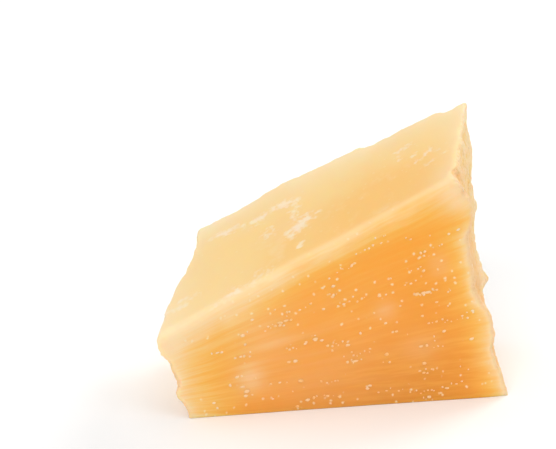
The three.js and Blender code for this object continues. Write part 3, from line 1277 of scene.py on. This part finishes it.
@dataclass(frozen=True)
class CheeseFinish:
    """Waxy, slightly translucent cheese, with one small finish for each of its layers.

    The roughness and the translucency pass from a smooth face to a broken one.
    """

    patterns: Patterns = Patterns()
    front: FrontFinish = FrontFinish()
    top: TopFinish = TopFinish()
    specks: SpeckFinish = SpeckFinish()
    crags: CragFinish = CragFinish()
    scars: ScarFinish = ScarFinish()
    bump: SkinBump = SkinBump()
    milk: Colour = srgb(255, 212, 162)
    milk_share: Ramp = Ramp(0.3, 0.7, 0.5, 1)
    roughness: Ramp = Ramp(0, 1, 0.45, 0.65)
    translucency: Ramp = Ramp(0, 1, 0.7, 0.55)
    scatter_colour: Triple = (1.0, 0.55, 0.25)
    scatter_depth: float = 0.0025
    gloss: float = 0.35

    def smooth(self, graph: CheeseGraph) -> Socket:
        """Joins the front and the top, and lays milky clouds and specks over both.

        Args:
            graph: The skin's node tree.

        Returns:
            The colour.
        """
        # The top is paler than the front, partly by its own drier tone and partly by painted light from
        # above.
        smooth = graph.blend(graph.top, self.front.colour(graph), self.top.colour(graph))
        milky = graph.times(graph.attribute("milky"), graph.along(self.milk_share, graph.bands))
        return self.specks.over(graph, graph.blend(milky, smooth, self.milk))

    def build(self, apex: Array) -> bpy.types.Material:
        """Builds the material of the skin.

        Args:
            apex: The point that the cut lines fan out from, in the frame's metres.

        Returns:
            The material.
        """
        graph = CheeseGraph(self.patterns, apex)
        colour = graph.blend(graph.broken, self.smooth(graph), self.crags.colour(graph))
        open_skin = graph.math("MAXIMUM", graph.broken, graph.torn)
        return graph.finish(
            {
                "Base Color": self.scars.over(graph, colour),
                "Roughness": graph.along(self.roughness, graph.broken),
                "Subsurface Weight": graph.along(self.translucency, open_skin),
                "Subsurface Radius": self.scatter_colour,
                "Subsurface Scale": self.scatter_depth,
                "Specular IOR Level": self.gloss,
                "Normal": self.bump.normal(graph),
            }
        )


@dataclass(frozen=True)
class Cloud:
    """A milky cloud at s and t in its face: how far it reaches in millimetres, and how milky it is."""

    side: Side
    s: float
    t: float
    reach: float
    share: float


@dataclass(frozen=True)
class CrestScale:
    """One size of crests and hollows: how much smoothing shows it, its usual height, and its share."""

    rounds: int
    height: float
    share: float


@dataclass
class Skin:
    """The chunk's whole surface, as one closed piece.

    The top is warm around a centre, within a reach along it and one across. The torn ridges wander by a
    share of their width. They have a share of their height on average, and gaps make them uneven.
    """

    form: ChunkForm
    grid: Grid
    finish: CheeseFinish
    crest_scales: tuple[CrestScale, ...] = (CrestScale(6, 0.12, 0.5), CrestScale(70, 0.6, 0.7))
    warm_centre: Pair = (68, 12)
    warm_reach: Pair = (30, 18)
    warm_share: float = 0.7
    tear_wander: Layer = Layer(0.5, 2.3)
    tear_gaps: Layer = Layer(0.5, 1.5)
    tear_share: float = 0.5
    tear_seed: int = 700
    clouds: tuple[Cloud, ...] = (
        Cloud(Side.FRONT, 19.6, 13.5, 4.5, 0.9),
        Cloud(Side.FRONT, 81, 47.8, 3.5, 0.35),
        Cloud(Side.FRONT, 63.4, 33.5, 3.5, 0.35),
        Cloud(Side.FRONT, 40, 16, 28, 0.2),
        Cloud(Side.FRONT, 3, 31.5, 4, 0.5),
        Cloud(Side.FRONT, 14, 36, 8, 0.35),
        Cloud(Side.FRONT, 25, 25.5, 9, 0.35),
        Cloud(Side.FRONT, 76, 19, 6, 0.2),
        Cloud(Side.FRONT, 98, 15, 4, 0.4),
        Cloud(Side.FRONT, 100, 8.7, 1.6, 0.6),
        Cloud(Side.FRONT, 85.5, 70, 5, 0.6),
        Cloud(Side.TOP, 85, 9, 5, 0.6),
        Cloud(Side.TOP, 31, 38, 11, 0.25),
        Cloud(Side.TOP, 38, 26, 9, 0.35),
        Cloud(Side.TOP, 15, 3, 5, 0.5),
    )

    def crest(self, surface: Surface, faces: Array) -> Array:
        """Works out where crests and hollows are.

        Formula: the heights over a slightly and over a strongly smoothed surface, each over its usual
        height and times its share.

        Args:
            surface: The surface.
            faces: The four corners of each of its faces.

        Returns:
            A number from 1 on a crest to -1 in a hollow.
        """
        total = np.zeros(len(surface.points))
        for scale in self.crest_scales:
            total += scale.share * crests(surface.points, faces, scale.rounds) / scale.height
        return np.clip(total, -1, 1)

    def tear(self, surface: Surface) -> Array:
        """Raises the torn ridges of the top.

        Formula: a ridge's height times e to the minus square of distance over width, with a wandering
        border, and uneven along its length.

        Args:
            surface: The surface, whose points are raised.

        Returns:
            How white and torn each point is: 0 where the top is whole.
        """
        x, y, _ = surface.points.T
        torn = np.zeros(len(x))
        rise = np.zeros(len(x))
        uneven = self.tear_share + self.tear_gaps.swells(x, y, self.tear_seed + len(TEARS))
        for number, tear in enumerate(TEARS):
            wander = tear.width * self.tear_wander.swells(x, y, self.tear_seed + number)
            away = line_distance(x, y, tear.points) + wander
            ridge = np.exp(-((away / tear.width) ** 2))
            rise = np.maximum(rise, ridge * tear.height * uneven)
            torn = np.maximum(torn, ridge * tear.white)
        on_top = surface.on(Side.TOP)
        surface.points[:, 2] += rise * on_top
        return torn * on_top

    def warm(self, surface: Surface) -> Array:
        """Works out how warm the top is: most behind the high part of its front edge.

        Formula: a share times e to the minus squares of the distances from a centre over two reaches.

        Args:
            surface: The surface.

        Returns:
            The warmth at each point.
        """
        shares = (surface.points[:, :2] - self.warm_centre) / self.warm_reach
        return self.warm_share * np.exp(-(shares**2).sum(axis=1))

    def milky(self, surface: Surface) -> Array:
        """Works out how milky each point of the smooth faces is.

        Formula: each cloud's share times e to the minus square of the distance from its centre over its
        reach, all added up.

        Args:
            surface: The surface.

        Returns:
            The milkiness, from 0 to 1.
        """
        milk = np.zeros(len(surface.points))
        for cloud in self.clouds:
            s, t = face_plane(cloud.side, surface.points)
            squares = ((s - cloud.s) ** 2 + (t - cloud.t) ** 2) / cloud.reach**2
            milk += cloud.share * np.exp(-squares) * surface.on(cloud.side)
        return np.clip(milk, 0, 1)

    def build(self) -> bpy.types.Object:
        """Builds the piece with what its material reads, and dresses it.

        Returns:
            The finished piece.
        """
        cube, faces = self.grid.build()
        surface = self.form.surface(cube)
        torn = self.tear(surface)
        surface.points[:, 2] = np.maximum(surface.points[:, 2], 0)
        readings = {
            # Painted readings: light through the thin edges and corner, shade from the top down, and the
            # blush's shade near the front.
            "pale": surface.pale(),
            "depth": surface.depth(),
            "glow": surface.glow(),
            "warm": self.warm(surface),
            "broken": surface.on(*BROKEN_SIDES),
            "top": surface.on(Side.TOP),
            "crest": self.crest(surface, faces),
            "torn": torn,
            "milky": self.milky(surface),
        }
        piece = make_piece("cheese_skin", self.form.in_frame(surface.points), faces, readings)
        apex = self.form.in_frame(np.array([self.form.cut_apex, 0, 0]))
        piece.data.materials.append(self.finish.build(apex))
        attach(piece, BODY)
        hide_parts(CHUNK_NODE)
        return piece


@dataclass(frozen=True)
class CrystalFinish:
    """Cream white, slightly glossy crystals, some of them faint."""

    white: Colour = srgb(255, 227, 192)
    faint: Colour = srgb(255, 193, 116)
    roughness: float = 0.5
    gloss: float = 0.3

    def build(self) -> bpy.types.Material:
        """Builds the material.

        Returns:
            The material.
        """
        graph = Graph("crystals")
        return graph.finish(
            {
                "Base Color": graph.blend(graph.attribute("white"), self.faint, self.white),
                "Roughness": self.roughness,
                "Specular IOR Level": self.gloss,
            }
        )


@dataclass(frozen=True)
class Grains:
    """Many small lumpy grains that are half sunk in the skin, given by whole arrays.

    Each grain has its place, a direction along the surface, the outward direction, its three radii
    along, across and outward, and its whiteness.
    """

    places: Array
    along: Array
    outward: Array
    radii: Array
    white: Array

    def build(self, lump: float, seed: int) -> tuple[Array, Array]:
        """Builds every grain as a closed ball of 26 points and 24 faces.

        Formula: a cube's grid is blown up to a ball. Each of its points is pushed in or out at random,
        stretched by the three radii and turned to the surface.

        Args:
            lump: How far a point is pushed at most, as a share of its distance from the middle.
            seed: Number that picks the random lumps.

        Returns:
            The points in millimetres, and the four corners of each face.
        """
        cube, faces = Grid((2, 2, 2), 0).build()
        ball = 2 * cube - 1
        ball /= np.linalg.norm(ball, axis=1, keepdims=True)
        count = len(self.places)
        lumps = 1 + lump * np.random.default_rng(seed).uniform(-1, 1, (count, len(ball), 1))
        across = np.cross(self.outward, self.along)
        axes = np.stack([self.along, across, self.outward], axis=1) * self.radii[:, :, None]
        points = self.places[:, None] + np.einsum("nba,nax->nbx", ball * lumps, axes)
        faces = faces + (np.arange(count) * len(ball))[:, None, None]
        return points.reshape(-1, 3), faces.reshape(-1, 4)


@dataclass(frozen=True)
class Rows:
    """The short rows of crystals on the front, in millimetres.

    A row starts over the lowest height, within a spread along the foot and one up the front, and higher
    powers bring the starts nearer to the low end and the foot. The gaps are the least and the greatest,
    and the strays are along a row and across it. The sizes are radii: of crystals in a short row, of
    others, and their shares at the low and at the high end.
    """

    count: int = 165
    lengths: tuple[int, ...] = (1, 1, 1, 1, 2, 2, 3, 5)
    gaps: Pair = (1.1, 2.4)
    spread: Pair = (103, 74)
    powers: Pair = (1.05, 1.1)
    lowest: float = 1
    strays: Pair = (0.4, 0.45)
    short: int = 2
    short_row_size: float = 0.37
    long_row_size: float = 0.28
    size_at_ends: Pair = (1.2, 0.95)
    size_spread: float = 0.25
    largest: float = 1.4
    whitest: float = 0.66


@dataclass(frozen=True)
class FaceCrystals:
    """Crystals scattered over a face: how many, their usual radius in millimetres, and how it varies.

    The margin is the share of the face that stays bare along each edge.
    """

    side: Side
    count: int
    size: float
    size_spread: float = 0.3
    margin: float = 0.03
    whiteness: Pair = (0.7, 1)


@dataclass
class Crystals:
    """The white crystals: in short rows along the front's cut lines, and scattered elsewhere.

    The front has crystals only between two limits on the unit cube, and where painted edge light doesn't
    make it too pale. The stretch is the usual logarithm of a crystal's length over its width, and how it
    varies. The flatness is its height over its width. The edge light gain whitens the crystals where
    painted edge light makes the cheese pale.
    """

    form: ChunkForm
    finish: CrystalFinish
    rows: Rows = Rows()
    limits: tuple[Triple, Triple] = ((0.012, -1, 0.02), (0.988, 1, 0.97))
    too_pale: float = 0.45
    scattered: tuple[FaceCrystals, ...] = (
        FaceCrystals(Side.LOW, 30, 0.42),
        FaceCrystals(Side.HIGH, 40, 0.42),
        FaceCrystals(Side.BACK, 90, 0.45),
    )
    stretch: Pair = (0.2, 0.3)
    flatness: float = 0.3
    pale_gain: float = 2.2
    lump: float = 0.2
    place_seed: int = 8
    lump_seed: int = 11

    def front_rows(self, chance: np.random.Generator) -> Grains:
        """Places the rows of the front: each starts at random and runs along a line of the fan.

        Formula: a row's start gives its angle and its distance from the fan's apex. Each crystal adds a
        gap to the distance and strays a little from both. Its size depends on its row's length, falls
        evenly from the low to the high end, and varies at random.

        Args:
            chance: Source of random numbers.

        Returns:
            The crystals that lie on the front, clear of its borders and of the margins that painted edge
            light makes pale.
        """
        rows = self.rows
        apex = self.form.cut_apex
        lengths = chance.choice(rows.lengths, rows.count)
        row = np.repeat(np.arange(rows.count), lengths)
        step = np.arange(len(row)) - np.repeat(np.cumsum(lengths) - lengths, lengths)
        gap = chance.uniform(*rows.gaps, rows.count)[row]
        start_x = (rows.spread[0] * chance.random(rows.count) ** rows.powers[0])[row]
        start_z = (rows.lowest + rows.spread[1] * chance.random(rows.count) ** rows.powers[1])[row]
        angle = np.arctan2(start_z, start_x - apex)
        reach = np.hypot(start_z, start_x - apex) + step * gap + chance.normal(0, rows.strays[0], len(row))
        angle = angle + chance.normal(0, rows.strays[1], len(row)) / reach
        x = apex + reach * np.cos(angle)
        cube = self.form.on_front(x, reach * np.sin(angle))
        lowest, highest = self.limits
        inside = ((cube > lowest) & (cube < highest)).all(axis=1)
        inside &= self.form.surface(cube).pale() < self.too_pale
        along = np.stack([np.cos(angle), np.zeros(len(row)), np.sin(angle)], axis=1)[inside]
        size = np.where(lengths[row] > rows.short, rows.long_row_size, rows.short_row_size)
        size = size * mix(*rows.size_at_ends, x / self.form.foot_length)
        size *= np.minimum(chance.lognormal(0, rows.size_spread, len(row)), rows.largest)
        white = chance.uniform(0, rows.whitest, len(along))
        return self.grains(Side.FRONT, cube[inside], along, size[inside], white, chance)

    def scatter(self, group: FaceCrystals, chance: np.random.Generator) -> Grains:
        """Scatters crystals over a face at random, clear of its edges and turned any way.

        Args:
            group: The face, and the number, size and whiteness of its crystals.
            chance: Source of random numbers.

        Returns:
            The crystals.
        """
        cube = chance.uniform(group.margin, 1 - group.margin, (group.count, 3))
        cube[:, group.side.axis] = group.side.end
        along = chance.normal(0, 1, (group.count, 3))
        size = group.size * chance.lognormal(0, group.size_spread, group.count)
        white = chance.uniform(*group.whiteness, group.count)
        return self.grains(group.side, cube, along, size, white, chance)

    def grains(
        self, side: Side, cube: Array, along: Array, size: Array, white: Array, chance: np.random.Generator
    ) -> Grains:
        """Turns places on the cube into flat grains that lie in the face.

        Formula: the lengthwise directions lose their part along the face's outward direction. A grain's
        radii are its size times the stretch, its size, and its size times the flatness.

        Args:
            side: The face.
            cube: Their places on the unit cube.
            along: Their lengthwise directions, which are laid into the face.
            size: Their radius across, in millimetres.
            white: Their whiteness, which is raised where painted edge light makes the cheese around them
                pale.
            chance: Source of random numbers.

        Returns:
            The grains.
        """
        normal = self.form.normal(side)
        surface = self.form.surface(cube)
        outward = np.broadcast_to(normal, along.shape)
        along = along - (along @ normal)[:, None] * normal
        along = along / np.linalg.norm(along, axis=1, keepdims=True)
        stretch = chance.lognormal(*self.stretch, len(size))
        radii = np.stack([size * stretch, size, self.flatness * size], axis=1)
        # Painted edge light whitens the crystals as well.
        white = np.maximum(white, np.minimum(self.pale_gain * surface.pale(), 1))
        return Grains(surface.points, along, outward, radii, white)

    def build(self) -> bpy.types.Object:
        """Builds all crystals as one piece, and dresses it.

        Returns:
            The finished piece.
        """
        chance = np.random.default_rng(self.place_seed)
        groups = [self.front_rows(chance)]
        groups += [self.scatter(group, chance) for group in self.scattered]
        names = [field.name for field in fields(Grains)]
        grains = Grains(*(np.concatenate([getattr(group, name) for group in groups]) for name in names))
        points, faces = grains.build(self.lump, self.lump_seed)
        white = np.repeat(grains.white, len(points) // len(grains.white))
        piece = make_piece("cheese_crystals", self.form.in_frame(points), faces, {"white": white})
        piece.data.materials.append(self.finish.build())
        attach(piece, BODY)
        return piece


@dataclass(frozen=True)
class Sun:
    """A soft lamp at no distance in particular: the way to it, its width in degrees, and its strength."""

    name: str
    toward: Triple
    width: float
    strength: float

    def build(self) -> None:
        """Builds the lamp, turned so that it shines from its side."""
        light = bpy.data.lights.new(self.name, "SUN")
        light.angle = radians(self.width)
        light.energy = self.strength
        lamp = bpy.data.objects.new(self.name, light)
        x, y, z = self.toward
        lamp.rotation_euler = (np.arctan2(np.hypot(x, y), z), 0, np.arctan2(x, -y))
        bpy.context.scene.collection.objects.link(lamp)


@dataclass(frozen=True)
class Studio:
    """The pale floor, the white surroundings and the soft lamps."""

    floor_reach: float = 20
    floor_colour: Colour = srgb(252, 252, 252)
    floor_roughness: float = 0.9
    surround: float = 0.35
    lamps: tuple[Sun, ...] = (
        Sun("above", (-0.1, 0.1, 1), 60, 0.9),
        Sun("key", (-0.5, -0.75, 0.65), 35, 1.08),
        Sun("side", (0.75, -0.5, 0.65), 35, 0.4),
        Sun("back", (0.75, 0.6, 0.5), 30, 1.15),
        Sun("fill", (-0.9, 0.4, 0.45), 50, 0.35),
    )

    def lay_floor(self) -> None:
        """Lays the floor: one square face under the chunk."""
        reach = self.floor_reach
        ring = [(-reach, -reach, 0), (reach, -reach, 0), (reach, reach, 0), (-reach, reach, 0)]
        mesh = bpy.data.meshes.new("floor")
        mesh.from_pydata(ring, [], [(0, 1, 2, 3)])
        finish = {"Base Color": self.floor_colour, "Roughness": self.floor_roughness}
        mesh.materials.append(Graph("pale_floor").finish(finish))
        floor = bpy.data.objects.new("floor", mesh)
        bpy.context.scene.collection.objects.link(floor)

    def light_surroundings(self) -> None:
        """Makes the surroundings an even, weak white light."""
        world = bpy.data.worlds.new("surroundings")
        world.use_nodes = True
        background = world.node_tree.nodes["Background"]
        background.inputs["Color"].default_value = (1, 1, 1, 1)
        background.inputs["Strength"].default_value = self.surround
        bpy.context.scene.world = world

    def build(self) -> None:
        """Builds the floor, the surroundings and the lamps, and shows colours as they are."""
        self.lay_floor()
        self.light_surroundings()
        for lamp in self.lamps:
            lamp.build()
        bpy.context.scene.view_settings.view_transform = "Standard"


@dataclass(frozen=True)
class Viewpoint:
    """The camera, in millimetres from the form's low foot corner, with its turn and fall in degrees."""

    place: Triple = (-28.3, -391, 225.4)
    turn: float = 8.28
    fall: float = 22
    lens: float = 90

    def build(self, form: ChunkForm) -> None:
        """Builds the camera and makes it the scene's own.

        Args:
            form: The chunk's form, which says where the frame's origin is.
        """
        data = bpy.data.cameras.new("camera")
        data.lens = self.lens
        camera = bpy.data.objects.new("camera", data)
        camera.location = form.in_frame(np.array(self.place))
        camera.rotation_euler = (radians(90 - self.fall), 0, -radians(self.turn))
        bpy.context.scene.collection.objects.link(camera)
        bpy.context.scene.camera = camera


def report(piece: bpy.types.Object) -> None:
    """Logs a piece's name, its faces and its box in millimetres.

    Args:
        piece: The piece, whose object is at the origin.
    """
    points = np.empty(len(piece.data.vertices) * 3, dtype=np.float32)
    piece.data.vertices.foreach_get("co", points)
    points = points.reshape(-1, 3) / MM
    size = np.round(points.max(axis=0) - points.min(axis=0), 1)
    LOG.info("%s: %d faces, %s mm", piece.name, len(piece.data.polygons), size.tolist())


def main() -> None:
    """Builds the camera, the studio and each piece of the chunk."""
    logging.basicConfig(level=logging.INFO, format="%(name)s: %(message)s")
    form = ChunkForm()
    Viewpoint().build(form)
    Studio().build()
    report(Skin(form, Grid(), CheeseFinish()).build())
    report(Crystals(form, CrystalFinish()).build())


if __name__ == "__main__":
    main()
